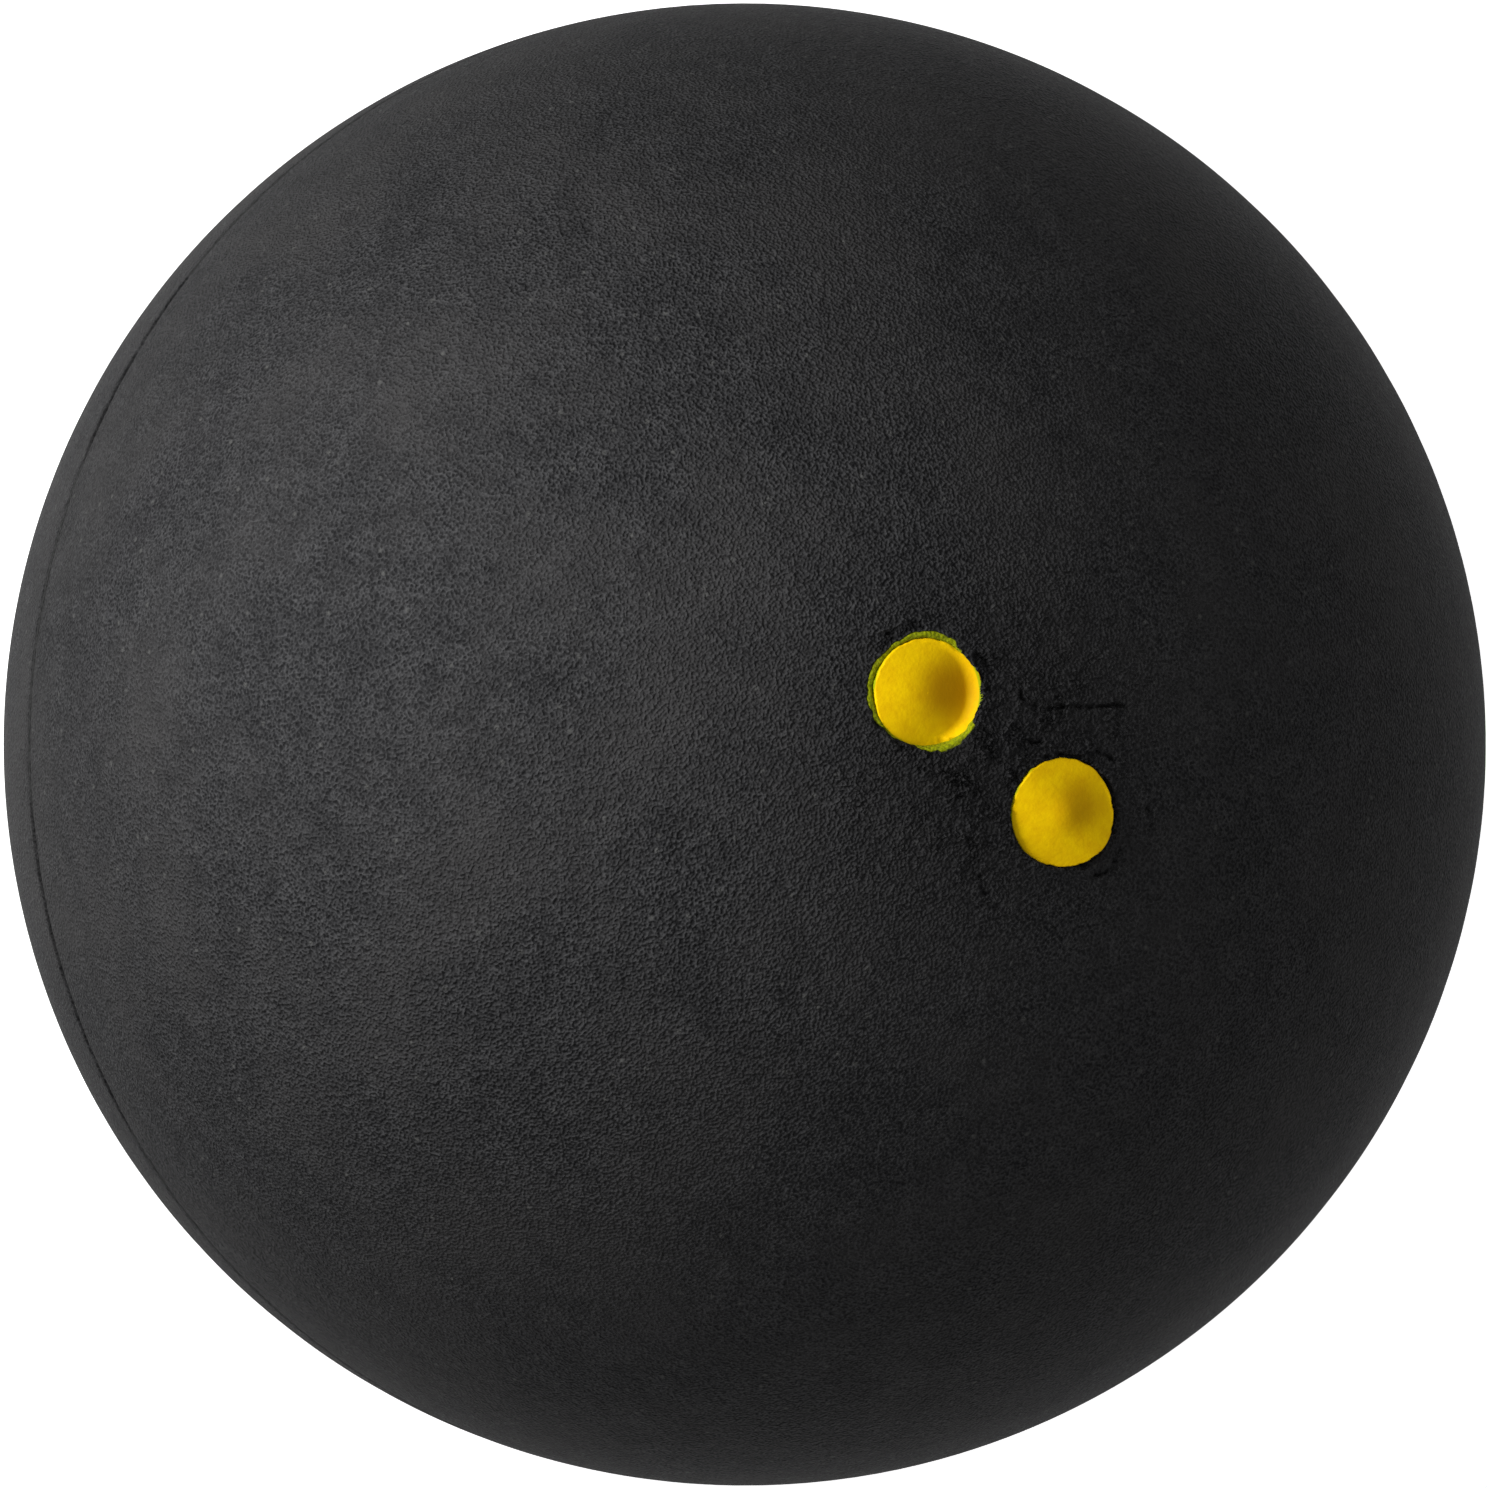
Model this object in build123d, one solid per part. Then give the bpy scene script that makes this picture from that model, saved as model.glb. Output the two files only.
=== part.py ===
from build123d import *
import math
import os

# Squash ball: two moulded rubber half shells cemented rim to rim, with two yellow dots pressed into one half.
# Millimetres. The origin is the ball's centre, the seam lies in the XY plane, and the dots are at the +Z pole,
# side by side along X.

# Ball
BALL_DIAMETER = 40.0
WALL = 5.0

# Seam: the cement between the two rims, the rounding of each rim's outer corner,
# and the bead that the cement squeezes out on the inner wall
CEMENT_THICKNESS = 0.15
RIM_ROUND = 0.13
BEAD_WIDTH = 1.6
BEAD_HEIGHT = 0.3

# Dots: the rubber left between the two mouths, and the recess that the press leaves,
# with its domed floor, its wall's lean and its rounded lip
DOT_GAP = 1.86
RECESS_DIAMETER = 2.9
RECESS_DEPTH = 0.45
RECESS_DRAFT = 25.0
LIP_ROUND = 0.1
DOME_RISE = 0.2

# Paint: a thin coat in the first recess, the second filled nearly to its lip
FIRST_PAINT_THICKNESS = 0.14
SECOND_PAINT_THICKNESS = 0.28

ball_radius = BALL_DIAMETER / 2
inner_radius = ball_radius - WALL
rim_height = CEMENT_THICKNESS / 2
mouth_radius = RECESS_DIAMETER / 2
mouth_height = math.sqrt(ball_radius**2 - mouth_radius**2)
floor_height = mouth_height - RECESS_DEPTH
dot_tilt = math.degrees(math.asin((RECESS_DIAMETER + DOT_GAP) / 2 / ball_radius))


def rim_to_pole(radius):
    """Section arc of a sphere about the centre, from the rim's height up to the pole."""
    rim_angle = math.degrees(math.asin(rim_height / radius))
    return CenterArc((0, 0), radius, rim_angle, 90 - rim_angle)


def half_shell():
    """Hollow half ball above the seam, with a flat rim that is rounded at its outer corner."""
    with BuildSketch(Plane.YZ) as section:
        with BuildLine():
            outer = rim_to_pole(ball_radius)
            inner = rim_to_pole(inner_radius)
            Line(outer @ 0, inner @ 0)
            Line(outer @ 1, inner @ 1)
        make_face()
        fillet(section.vertices().sort_by(Axis.X)[-1], RIM_ROUND)
    return revolve(section.sketch, Axis.Z)


def cement_ring():
    """Cement from the foot of the rims' outer rounding, between the rims, to the bead on the inner wall."""
    foot_radius = ball_radius - RIM_ROUND
    rim_angle = math.degrees(math.asin(rim_height / inner_radius))
    toe_angle = math.degrees(math.asin(BEAD_WIDTH / 2 / inner_radius))
    with BuildSketch(Plane.YZ) as section:
        with BuildLine():
            upper_toe = CenterArc((0, 0), inner_radius, rim_angle, toe_angle - rim_angle)
            lower_toe = CenterArc((0, 0), inner_radius, -rim_angle, rim_angle - toe_angle)
            ThreePointArc(upper_toe @ 1, (inner_radius - BEAD_HEIGHT, 0), lower_toe @ 1)
            Polyline(
                upper_toe @ 0,
                (foot_radius, rim_height),
                (foot_radius, -rim_height),
                lower_toe @ 0,
            )
        make_face()
    return revolve(section.sketch, Axis.Z)


def dome(height, radius):
    """Section arc of a low dome, from its middle on the axis out to its edge."""
    dome_radius = (radius**2 + DOME_RISE**2) / (2 * DOME_RISE)
    return RadiusArc((0, height + DOME_RISE), (radius, height), dome_radius)


def recess_fill(fill_height):
    """What fills a recess at the pole from its domed floor, within its drafted wall, up to a like dome."""
    lean = math.tan(math.radians(RECESS_DRAFT))
    with BuildSketch(Plane.YZ) as section:
        with BuildLine():
            floor = dome(floor_height, mouth_radius + (floor_height - mouth_height) * lean)
            top = dome(fill_height, mouth_radius + (fill_height - mouth_height) * lean)
            Line(floor @ 0, top @ 0)
            Line(floor @ 1, top @ 1)
        make_face()
    return revolve(section.sketch, Axis.Z)


def at_dot(piece, side):
    """A piece carried from the pole to its dot: side -1 is towards -X, side 1 towards +X."""
    return Rot(0, side * dot_tilt, 0) * piece


def upper_half():
    """The half shell with both recesses pressed in and their lips rounded."""
    press = recess_fill(mouth_height + RECESS_DEPTH)
    shell = half_shell() - at_dot(press, -1) - at_dot(press, 1)
    mouth_length = math.pi * RECESS_DIAMETER
    lips = shell.edges().filter_by(lambda edge: math.isclose(edge.length, mouth_length, rel_tol=1e-4))
    return fillet(lips, LIP_ROUND)


pieces = {
    "upper_half_shell": upper_half(),
    "lower_half_shell": mirror(half_shell(), about=Plane.XY),
    "seam_cement": cement_ring(),
    "first_yellow_dot": at_dot(recess_fill(floor_height + FIRST_PAINT_THICKNESS), -1),
    "second_yellow_dot": at_dot(recess_fill(floor_height + SECOND_PAINT_THICKNESS), 1),
}

os.makedirs("parts", exist_ok=True)
for name, piece in pieces.items():
    export_step(piece, f"parts/{name}.step")
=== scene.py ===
import math

import bmesh
import bpy
from mathutils import Matrix, Vector, noise


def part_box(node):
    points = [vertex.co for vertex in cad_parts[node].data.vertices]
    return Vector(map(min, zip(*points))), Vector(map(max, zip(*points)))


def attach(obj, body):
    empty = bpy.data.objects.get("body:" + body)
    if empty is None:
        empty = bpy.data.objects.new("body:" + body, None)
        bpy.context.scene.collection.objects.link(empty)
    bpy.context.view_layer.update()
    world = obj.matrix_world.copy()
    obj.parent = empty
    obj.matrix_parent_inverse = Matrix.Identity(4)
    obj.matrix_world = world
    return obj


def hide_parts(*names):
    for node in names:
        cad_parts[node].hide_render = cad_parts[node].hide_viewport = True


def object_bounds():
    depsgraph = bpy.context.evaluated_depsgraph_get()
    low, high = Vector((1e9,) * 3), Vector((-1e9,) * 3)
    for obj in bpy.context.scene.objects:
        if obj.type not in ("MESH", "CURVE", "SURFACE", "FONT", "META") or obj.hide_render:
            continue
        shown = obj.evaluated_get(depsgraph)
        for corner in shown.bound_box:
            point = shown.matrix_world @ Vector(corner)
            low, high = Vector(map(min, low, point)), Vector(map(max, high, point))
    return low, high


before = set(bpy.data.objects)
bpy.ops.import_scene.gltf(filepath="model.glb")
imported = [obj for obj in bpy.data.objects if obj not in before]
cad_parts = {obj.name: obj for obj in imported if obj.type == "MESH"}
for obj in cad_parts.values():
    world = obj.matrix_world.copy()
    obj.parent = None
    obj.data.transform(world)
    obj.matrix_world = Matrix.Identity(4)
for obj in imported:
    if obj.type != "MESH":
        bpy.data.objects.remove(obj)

cad_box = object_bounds()
MM = 0.001


# Lower half shell: a bowl of black filled rubber, moulded hot in a steel cavity and then buffed matt.
# It is plain, and meets the other half at a flat rim whose outer corner the buffing has rounded.
ball_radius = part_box("upper_half_shell")[1].z
rim_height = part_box("upper_half_shell")[0].z
WALL = 5.0 * MM
RIM_ROUND = 0.36 * MM
PLAIN_CELLS = 150
SWELLING_MIDDLE = 0.1
MOUTH_WAVE = 0.7 * MM
WANDER = 0.18 * MM
WANDER_WAVE = 0.25 * MM
CRACK_GAP_WAVE = 0.3 * MM
MERGE_DISTANCE = 0.0001 * MM

# Degrees round the rim's outer corner with the share of the seam's dark there, and degrees up the inner wall.
RIM_ROUND_STEPS = {10: 0.55, 30: 0.9, 55: 1.0, 90: 1.0}
INNER_STEPS = (0, 6, 14, 25, 40, 58, 75, 90)

# How much of the rim's rounding the wear has brought out, at least and at most, and how dark the seam is,
# where it is shut and along the stretches, in degrees about the ball's axis, where it has opened. The seam's
# dark is partly dirt and partly painted shade in its groove, and deepens round the rim's corner.
RIM_WEAR_WAVE = 0.5 * MM
SHUT_WORN = (0.1, 0.3)
OPEN_WORN = (0.14, 0.45)
SHUT_DARK = 0.55
OPEN_DARK = 0.75
SEAM_OPEN_FADE = 1.3 * MM
SEAM_OPEN_STRETCHES = (
    (70, 73), (131, 131.5), (184, 186), (190, 195), (227, 230), (234, 237), (239, 239.5), (241.5, 242.5),
    (247, 247.5), (293, 294), (338, 338.5),
)


def linear(hex_colour, alpha=1.0):
    """An sRGB hex colour as the linear one that shaders work in."""
    shares = [int(hex_colour[i:i + 2], 16) / 255 for i in (1, 3, 5)]
    return [s / 12.92 if s <= 0.04045 else ((s + 0.055) / 1.055) ** 2.4 for s in shares] + [alpha]


def add(tree, kind, inputs=None, **settings):
    """A new node with its settings. An input is a value, a socket, or a node, for its first output."""
    made = tree.nodes.new(kind)
    for name, value in settings.items():
        setattr(made, name, value)
    for key, value in (inputs or {}).items():
        source = value.outputs[0] if isinstance(value, bpy.types.Node) else value
        if isinstance(source, bpy.types.NodeSocket):
            tree.links.new(source, made.inputs[key])
        else:
            made.inputs[key].default_value = source
    return made


def new_form(name, inputs, made):
    """A new Geometry Nodes form with the sockets of its named inputs. What it makes goes by the name made."""
    form = bpy.data.node_groups.new(name, "GeometryNodeTree")
    for input_name, input_kind in inputs.items():
        form.interface.new_socket(input_name, in_out="INPUT", socket_type=input_kind)
    form.interface.new_socket(made, in_out="OUTPUT", socket_type="NodeSocketGeometry")
    return form, add(form, "NodeGroupInput").outputs


# The half shell's rule: a square sheet of cells is drawn into a disc, wrapped over the ball from the pole to
# the rim, pressed in at the dots, and turned in at its edge round the rim and up the inner wall to the pole.
MATH, VECTOR_MATH = "ShaderNodeMath", "ShaderNodeVectorMath"
SHELL_INPUTS = {
    "Ball radius": "NodeSocketFloat",
    "Wall": "NodeSocketFloat",
    "Rim height": "NodeSocketFloat",
    "Rim round": "NodeSocketFloat",
    "Cells": "NodeSocketInt",
    "Middle cell share": "NodeSocketFloat",
    "Dot tilt": "NodeSocketFloat",
    "Mouth radius": "NodeSocketFloat",
    "Mouth raggedness": "NodeSocketFloat",
    "Recess depth": "NodeSocketFloat",
    "Recess wall width": "NodeSocketFloat",
    "Lip rise": "NodeSocketFloat",
    "Lip width": "NodeSocketFloat",
    "Wrinkle height": "NodeSocketFloat",
    "Wrinkle width": "NodeSocketFloat",
    "Wrinkle reach": "NodeSocketFloat",
    "Crack lines": "NodeSocketObject",
    "Crack width": "NodeSocketFloat",
    "Crack depth": "NodeSocketFloat",
    "Film lines": "NodeSocketObject",
    "Film width": "NodeSocketFloat",
    "Open seam lines": "NodeSocketObject",
    "Seed": "NodeSocketFloat",
    "Material": "NodeSocketMaterial",
}
shell_form, given = new_form("half_shell_form", SHELL_INPUTS, "Shell")

lines = add(shell_form, MATH, {0: given["Cells"], 1: 1.0}, operation="ADD")
sheet = add(
    shell_form, "GeometryNodeMeshGrid",
    {"Size X": 2.0, "Size Y": 2.0, "Vertices X": lines, "Vertices Y": lines},
)
place = add(shell_form, "GeometryNodeInputPosition")
place_2 = add(shell_form, VECTOR_MATH, {0: place, 1: place}, operation="MULTIPLY")
place_4 = add(shell_form, VECTOR_MATH, {0: place_2, 1: place_2}, operation="MULTIPLY")
place_6 = add(shell_form, VECTOR_MATH, {0: place_4, 1: place_2}, operation="MULTIPLY")
rest_share = add(shell_form, MATH, {0: 1.0, 1: given["Middle cell share"]}, operation="SUBTRACT")
spread = add(
    shell_form, VECTOR_MATH,
    {0: place_6, 1: rest_share, 2: given["Middle cell share"]}, operation="MULTIPLY_ADD",
)
square = add(shell_form, VECTOR_MATH, {0: place, 1: spread}, operation="MULTIPLY")
square_2 = add(shell_form, VECTOR_MATH, {0: square, 1: square}, operation="MULTIPLY")
square_parts = add(shell_form, "ShaderNodeSeparateXYZ", {0: square_2}).outputs
narrowing = []
for other in ("Y", "X"):
    kept = add(
        shell_form, MATH, {0: square_parts[other], 1: -0.5, 2: 1.0}, operation="MULTIPLY_ADD"
    )
    narrowing.append(add(shell_form, MATH, {0: kept}, operation="SQRT"))
narrowed = add(shell_form, "ShaderNodeCombineXYZ", {"X": narrowing[0], "Y": narrowing[1]})
disc = add(shell_form, VECTOR_MATH, {0: square, 1: narrowed}, operation="MULTIPLY")

edge_height = add(shell_form, MATH, {0: given["Rim height"], 1: given["Rim round"]}, operation="ADD")
edge_share = add(shell_form, MATH, {0: edge_height, 1: given["Ball radius"]}, operation="DIVIDE")
edge_angle = add(shell_form, MATH, {0: edge_share}, operation="ARCCOSINE")
disc_reach = add(shell_form, VECTOR_MATH, {0: disc}, operation="LENGTH").outputs["Value"]
polar_angle = add(shell_form, MATH, {0: disc_reach, 1: edge_angle}, operation="MULTIPLY")
outward = add(shell_form, VECTOR_MATH, {0: disc}, operation="NORMALIZE")
polar_sine = add(shell_form, MATH, {0: polar_angle}, operation="SINE")
polar_cosine = add(shell_form, MATH, {0: polar_angle}, operation="COSINE")
level = add(shell_form, VECTOR_MATH, {0: outward, "Scale": polar_sine}, operation="SCALE")
upright = add(shell_form, "ShaderNodeCombineXYZ", {"Z": polar_cosine})
normal = add(shell_form, VECTOR_MATH, {0: level, 1: upright}, operation="ADD")
on_ball = add(shell_form, VECTOR_MATH, {0: normal, "Scale": given["Ball radius"]}, operation="SCALE")

# The two dots are alike on either side of the pole, so one side is folded over on the other.
folded = add(shell_form, VECTOR_MATH, {0: on_ball}, operation="ABSOLUTE")
tilt_sine = add(shell_form, MATH, {0: given["Dot tilt"]}, operation="SINE")
tilt_cosine = add(shell_form, MATH, {0: given["Dot tilt"]}, operation="COSINE")
dot_axis = add(shell_form, "ShaderNodeCombineXYZ", {"X": tilt_sine, "Z": tilt_cosine})
off_axis = add(shell_form, VECTOR_MATH, {0: folded, 1: dot_axis}, operation="CROSS_PRODUCT")
dot_distance = add(shell_form, VECTOR_MATH, {0: off_axis}, operation="LENGTH").outputs["Value"]
ragged = add(
    shell_form, "ShaderNodeTexNoise",
    {"Vector": on_ball, "W": given["Seed"], "Scale": 1 / MOUTH_WAVE, "Detail": 2.0},
    noise_dimensions="4D",
)
ragged_even = add(shell_form, MATH, {0: ragged, 1: 0.5}, operation="SUBTRACT")
dot_reach = add(
    shell_form, MATH,
    {0: ragged_even, 1: given["Mouth raggedness"], 2: dot_distance}, operation="MULTIPLY_ADD",
)
recess_foot = add(
    shell_form, MATH, {0: given["Mouth radius"], 1: given["Recess wall width"]}, operation="SUBTRACT"
)
recess_sunk = add(shell_form, MATH, {0: given["Recess depth"], 1: -1.0}, operation="MULTIPLY")
recess = add(
    shell_form, "ShaderNodeMapRange",
    {"Value": dot_reach, "From Min": recess_foot, "From Max": given["Mouth radius"],
     "To Min": recess_sunk, "To Max": 0.0},
    interpolation_type="SMOOTHSTEP",
)
lip_end = add(shell_form, MATH, {0: given["Mouth radius"], 1: given["Lip width"]}, operation="ADD")
lip = add(
    shell_form, "ShaderNodeMapRange",
    {"Value": dot_reach, "From Min": given["Mouth radius"], "From Max": lip_end,
     "To Min": given["Lip rise"], "To Max": 0.0},
    interpolation_type="SMOOTHSTEP",
)
in_recess = add(
    shell_form, "ShaderNodeMapRange",
    {"Value": dot_reach, "From Min": recess_foot, "From Max": given["Mouth radius"]},
    interpolation_type="SMOOTHSTEP",
)
lip_only = add(shell_form, MATH, {0: lip, 1: in_recess}, operation="MULTIPLY")

# Pressing the dots has crumpled the skin of the rubber about the pole.
wrinkle_scale = add(shell_form, MATH, {0: 1.0, 1: given["Wrinkle width"]}, operation="DIVIDE")
wrinkles = add(
    shell_form, "ShaderNodeTexNoise",
    {"Vector": on_ball, "W": given["Seed"], "Scale": wrinkle_scale, "Detail": 1.0, "Distortion": 0.4},
    noise_dimensions="4D",
)
wrinkles_even = add(shell_form, MATH, {0: wrinkles, 1: 0.5}, operation="SUBTRACT")
swellings = add(shell_form, MATH, {0: wrinkles_even}, operation="ABSOLUTE")
swellings_even = add(shell_form, MATH, {0: swellings, 1: SWELLING_MIDDLE}, operation="SUBTRACT")
pole_distance = add(
    shell_form, MATH, {0: polar_angle, 1: given["Ball radius"]}, operation="MULTIPLY"
)
wrinkle_strength = add(
    shell_form, "ShaderNodeMapRange",
    {"Value": pole_distance, "From Min": 0.0, "From Max": given["Wrinkle reach"],
     "To Min": given["Wrinkle height"], "To Max": 0.0},
    interpolation_type="SMOOTHSTEP",
)
wrinkle = add(shell_form, MATH, {0: swellings_even, 1: wrinkle_strength}, operation="MULTIPLY")
crumple = add(shell_form, MATH, {0: wrinkle_strength, 1: 1 / MM}, operation="MULTIPLY")

# Cracks and the film of paint lie along lines drawn on the ball, and wander about them.
wander = add(
    shell_form, "ShaderNodeTexNoise",
    {"Vector": on_ball, "W": given["Seed"], "Scale": 1 / WANDER_WAVE, "Detail": 2.0}, noise_dimensions="4D",
).outputs["Color"]
wander_even = add(shell_form, VECTOR_MATH, {0: wander, 1: (0.5, 0.5, 0.5)}, operation="SUBTRACT")
wandered = add(
    shell_form, VECTOR_MATH, {0: wander_even, 1: (WANDER, WANDER, WANDER), 2: on_ball},
    operation="MULTIPLY_ADD",
)


def near_lines(form, lines, width, at):
    """How near a place is to a form's lines: 1 on them, 0 from a width away, and 0 where there are none."""
    drawn = add(form, "GeometryNodeObjectInfo", {"Object": lines}).outputs["Geometry"]
    off = add(
        form, "GeometryNodeProximity", {"Geometry": drawn, "Sample Position": at}, target_element="EDGES"
    ).outputs
    near = add(
        form, "ShaderNodeMapRange",
        {"Value": off["Distance"], "From Min": 0.0, "From Max": width, "To Min": 1.0, "To Max": 0.0},
        interpolation_type="SMOOTHSTEP",
    )
    return add(form, MATH, {0: near, 1: off["Is Valid"]}, operation="MULTIPLY")


crack_near = near_lines(shell_form, given["Crack lines"], given["Crack width"], wandered)
crack_gaps = add(
    shell_form, "ShaderNodeTexNoise",
    {"Vector": on_ball, "W": given["Seed"], "Scale": 1 / CRACK_GAP_WAVE, "Detail": 1.0},
    noise_dimensions="4D",
)
crack_kept = add(
    shell_form, "ShaderNodeMapRange",
    {"Value": crack_gaps, "From Min": 0.36, "From Max": 0.56, "To Min": 0.25, "To Max": 1.0},
)
crack = add(shell_form, MATH, {0: crack_near, 1: crack_kept}, operation="MULTIPLY")
crack_sunk = add(shell_form, MATH, {0: given["Crack depth"], 1: -1.0}, operation="MULTIPLY")
crack_height = add(shell_form, MATH, {0: crack, 1: crack_sunk}, operation="MULTIPLY")
film = near_lines(shell_form, given["Film lines"], given["Film width"], wandered)
height = wrinkle
for part in (recess, lip_only, crack_height):
    height = add(shell_form, MATH, {0: height, 1: part}, operation="ADD")
stand_off = add(shell_form, VECTOR_MATH, {0: normal, "Scale": height}, operation="SCALE")
skin_place = add(shell_form, VECTOR_MATH, {0: on_ball, 1: stand_off}, operation="ADD")
# The cracks' mask sinks them and is also stored as the painted shade in them.
marked = sheet
for mark_name, mark in (("crack", crack), ("film", film), ("crumple", crumple)):
    marked = add(
        shell_form, "GeometryNodeStoreNamedAttribute",
        {"Geometry": marked, "Name": mark_name, "Value": mark}, data_type="FLOAT", domain="POINT",
    )
skin = add(shell_form, "GeometryNodeSetPosition", {"Geometry": marked, "Position": skin_place})

# From the sheet's edge on, each loop of edges is drawn out from the last one.
edge_faces = add(shell_form, "GeometryNodeInputMeshEdgeNeighbors")
edge_now = add(
    shell_form, "FunctionNodeCompare", {2: edge_faces, 3: 1}, data_type="INT", operation="EQUAL"
).outputs[0]
inner_radius = add(shell_form, MATH, {0: given["Ball radius"], 1: given["Wall"]}, operation="SUBTRACT")
level_place = add(shell_form, VECTOR_MATH, {0: place, 1: (1.0, 1.0, 0.0)}, operation="MULTIPLY")
level_way = add(shell_form, VECTOR_MATH, {0: level_place}, operation="NORMALIZE")
rim_wear = add(
    shell_form, "ShaderNodeTexNoise",
    {"Vector": level_place, "W": given["Seed"], "Scale": 1 / RIM_WEAR_WAVE, "Detail": 3.0},
    noise_dimensions="4D",
)
seam_open = near_lines(shell_form, given["Open seam lines"], SEAM_OPEN_FADE, level_place)
shut_worn = add(
    shell_form, "ShaderNodeMapRange",
    {"Value": rim_wear, "From Min": 0.3, "From Max": 0.7, "To Min": SHUT_WORN[0], "To Max": SHUT_WORN[1]},
)
open_worn = add(
    shell_form, "ShaderNodeMapRange",
    {"Value": rim_wear, "From Min": 0.3, "From Max": 0.7, "To Min": OPEN_WORN[0], "To Max": OPEN_WORN[1]},
)
rim_worn = add(
    shell_form, "ShaderNodeMapRange", {"Value": seam_open, "To Min": shut_worn, "To Max": open_worn}
)
round_here = add(shell_form, MATH, {0: given["Rim round"], 1: rim_worn}, operation="MULTIPLY")
seam_dark = add(
    shell_form, "ShaderNodeMapRange", {"Value": seam_open, "To Min": SHUT_DARK, "To Max": OPEN_DARK}
)
seam_broken = add(
    shell_form, "ShaderNodeMapRange",
    {"Value": rim_wear, "From Min": 0.38, "From Max": 0.58, "To Min": 0.15, "To Max": 1.0},
)
seam_dark = add(shell_form, MATH, {0: seam_dark, 1: seam_broken}, operation="MULTIPLY")
# The seam's dark is stored on the rim's loops as painted shade, partly also standing for dirt in the groove.
loops = []
for degrees, dark_share in RIM_ROUND_STEPS.items():
    turn = math.radians(degrees)
    loops.append((
        add(shell_form, MATH, {0: seam_dark, 1: dark_share}, operation="MULTIPLY"),
        add(shell_form, MATH, {0: round_here, 1: math.cos(turn) - 1, 2: given["Ball radius"]},
            operation="MULTIPLY_ADD"),
        add(shell_form, MATH, {0: round_here, 1: 1 - math.sin(turn), 2: given["Rim height"]},
            operation="MULTIPLY_ADD"),
    ))
for degrees in INNER_STEPS:
    turn = math.radians(degrees)
    loops.append((
        0.0,
        add(shell_form, MATH, {0: inner_radius, 1: math.cos(turn)}, operation="MULTIPLY"),
        add(shell_form, MATH, {0: inner_radius, 1: math.sin(turn), 2: given["Rim height"]},
            operation="MULTIPLY_ADD"),
    ))
bowl = skin
for loop_dark, loop_radius, loop_height in loops:
    drawn = add(
        shell_form, "GeometryNodeExtrudeMesh",
        {"Mesh": bowl, "Selection": edge_now, "Offset Scale": 0.0}, mode="EDGES",
    )
    loop_level = add(shell_form, VECTOR_MATH, {0: level_way, "Scale": loop_radius}, operation="SCALE")
    loop_up = add(shell_form, "ShaderNodeCombineXYZ", {"Z": loop_height})
    loop_place = add(shell_form, VECTOR_MATH, {0: loop_level, 1: loop_up}, operation="ADD")
    edge_now = drawn.outputs["Top"]
    placed = add(
        shell_form, "GeometryNodeSetPosition",
        {"Geometry": drawn, "Selection": edge_now, "Position": loop_place},
    )
    bowl = add(
        shell_form, "GeometryNodeStoreNamedAttribute",
        {"Geometry": placed, "Selection": edge_now, "Name": "crack", "Value": loop_dark},
        data_type="FLOAT", domain="POINT",
    )
closed = add(shell_form, "GeometryNodeMergeByDistance", {"Geometry": bowl, "Distance": MERGE_DISTANCE})
smooth = add(shell_form, "GeometryNodeSetShadeSmooth", {"Geometry": closed})
whole = add(shell_form, "GeometryNodeRealizeInstances", {"Geometry": smooth})
dressed = add(shell_form, "GeometryNodeSetMaterial", {"Geometry": whole, "Material": given["Material"]})
add(shell_form, "NodeGroupOutput", {"Shell": dressed})


def formed(name, form, sizes):
    """A plain mesh object that a Geometry Nodes form makes with the sizes given for its named inputs."""
    piece = bpy.data.objects.new(name, bpy.data.meshes.new(name))
    bpy.context.scene.collection.objects.link(piece)
    maker = piece.modifiers.new("form", "NODES")
    maker.node_group = form
    for item in form.interface.items_tree:
        if item.in_out == "INPUT":
            maker[item.identifier] = sizes[item.name]
    graph = bpy.context.evaluated_depsgraph_get()
    plain = bpy.data.meshes.new_from_object(piece.evaluated_get(graph))
    plain.name = name
    piece.modifiers.remove(maker)
    piece.data = plain
    return piece


def drawn_lines(name, lines):
    """A loose mesh of lines through the points given for each, for a form to measure from."""
    points, edges = [], []
    for line in lines:
        edges += [(len(points) + i, len(points) + i + 1) for i in range(len(line) - 1)]
        points += line
    mesh = bpy.data.meshes.new(name)
    mesh.from_pydata(points, edges, [])
    drawn = bpy.data.objects.new(name, mesh)
    bpy.context.scene.collection.objects.link(drawn)
    return drawn


def around(radius, start, end):
    """Points of an arc about the ball's axis, every degree or less, in the plane of the seam."""
    steps = max(1, math.ceil(end - start))
    turns = [math.radians(start + (end - start) * step / steps) for step in range(steps + 1)]
    return [Vector((radius * math.cos(turn), radius * math.sin(turn), 0)) for turn in turns]


open_seam = drawn_lines("open_seam", [around(ball_radius, *stretch) for stretch in SEAM_OPEN_STRETCHES])


def new_finish(name):
    """A new material, its node tree, its shader, and the place on the piece that its textures go by."""
    finish = bpy.data.materials.new(name)
    finish.use_nodes = True
    tree = finish.node_tree
    return finish, tree, tree.nodes["Principled BSDF"], add(tree, "ShaderNodeTexCoord").outputs["Object"]


# Black rubber, vulcanised and buffed: near black, with a tight leathery grain whose tops are rubbed paler
# than its pits, which are darker partly from dirt and partly as painted shade, hardly any gloss, a faint
# uneven bloom, and a few pale specks of dust. The crumpled skin near the dots, its creases and cracks, and
# the seam's groove are painted darker as shade, the seam partly also from dirt.
RUBBER_PIT = "#1A1A1B"
RUBBER_TOP = "#3B3B3C"
RUBBER_BLOOM = "#363535"
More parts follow.
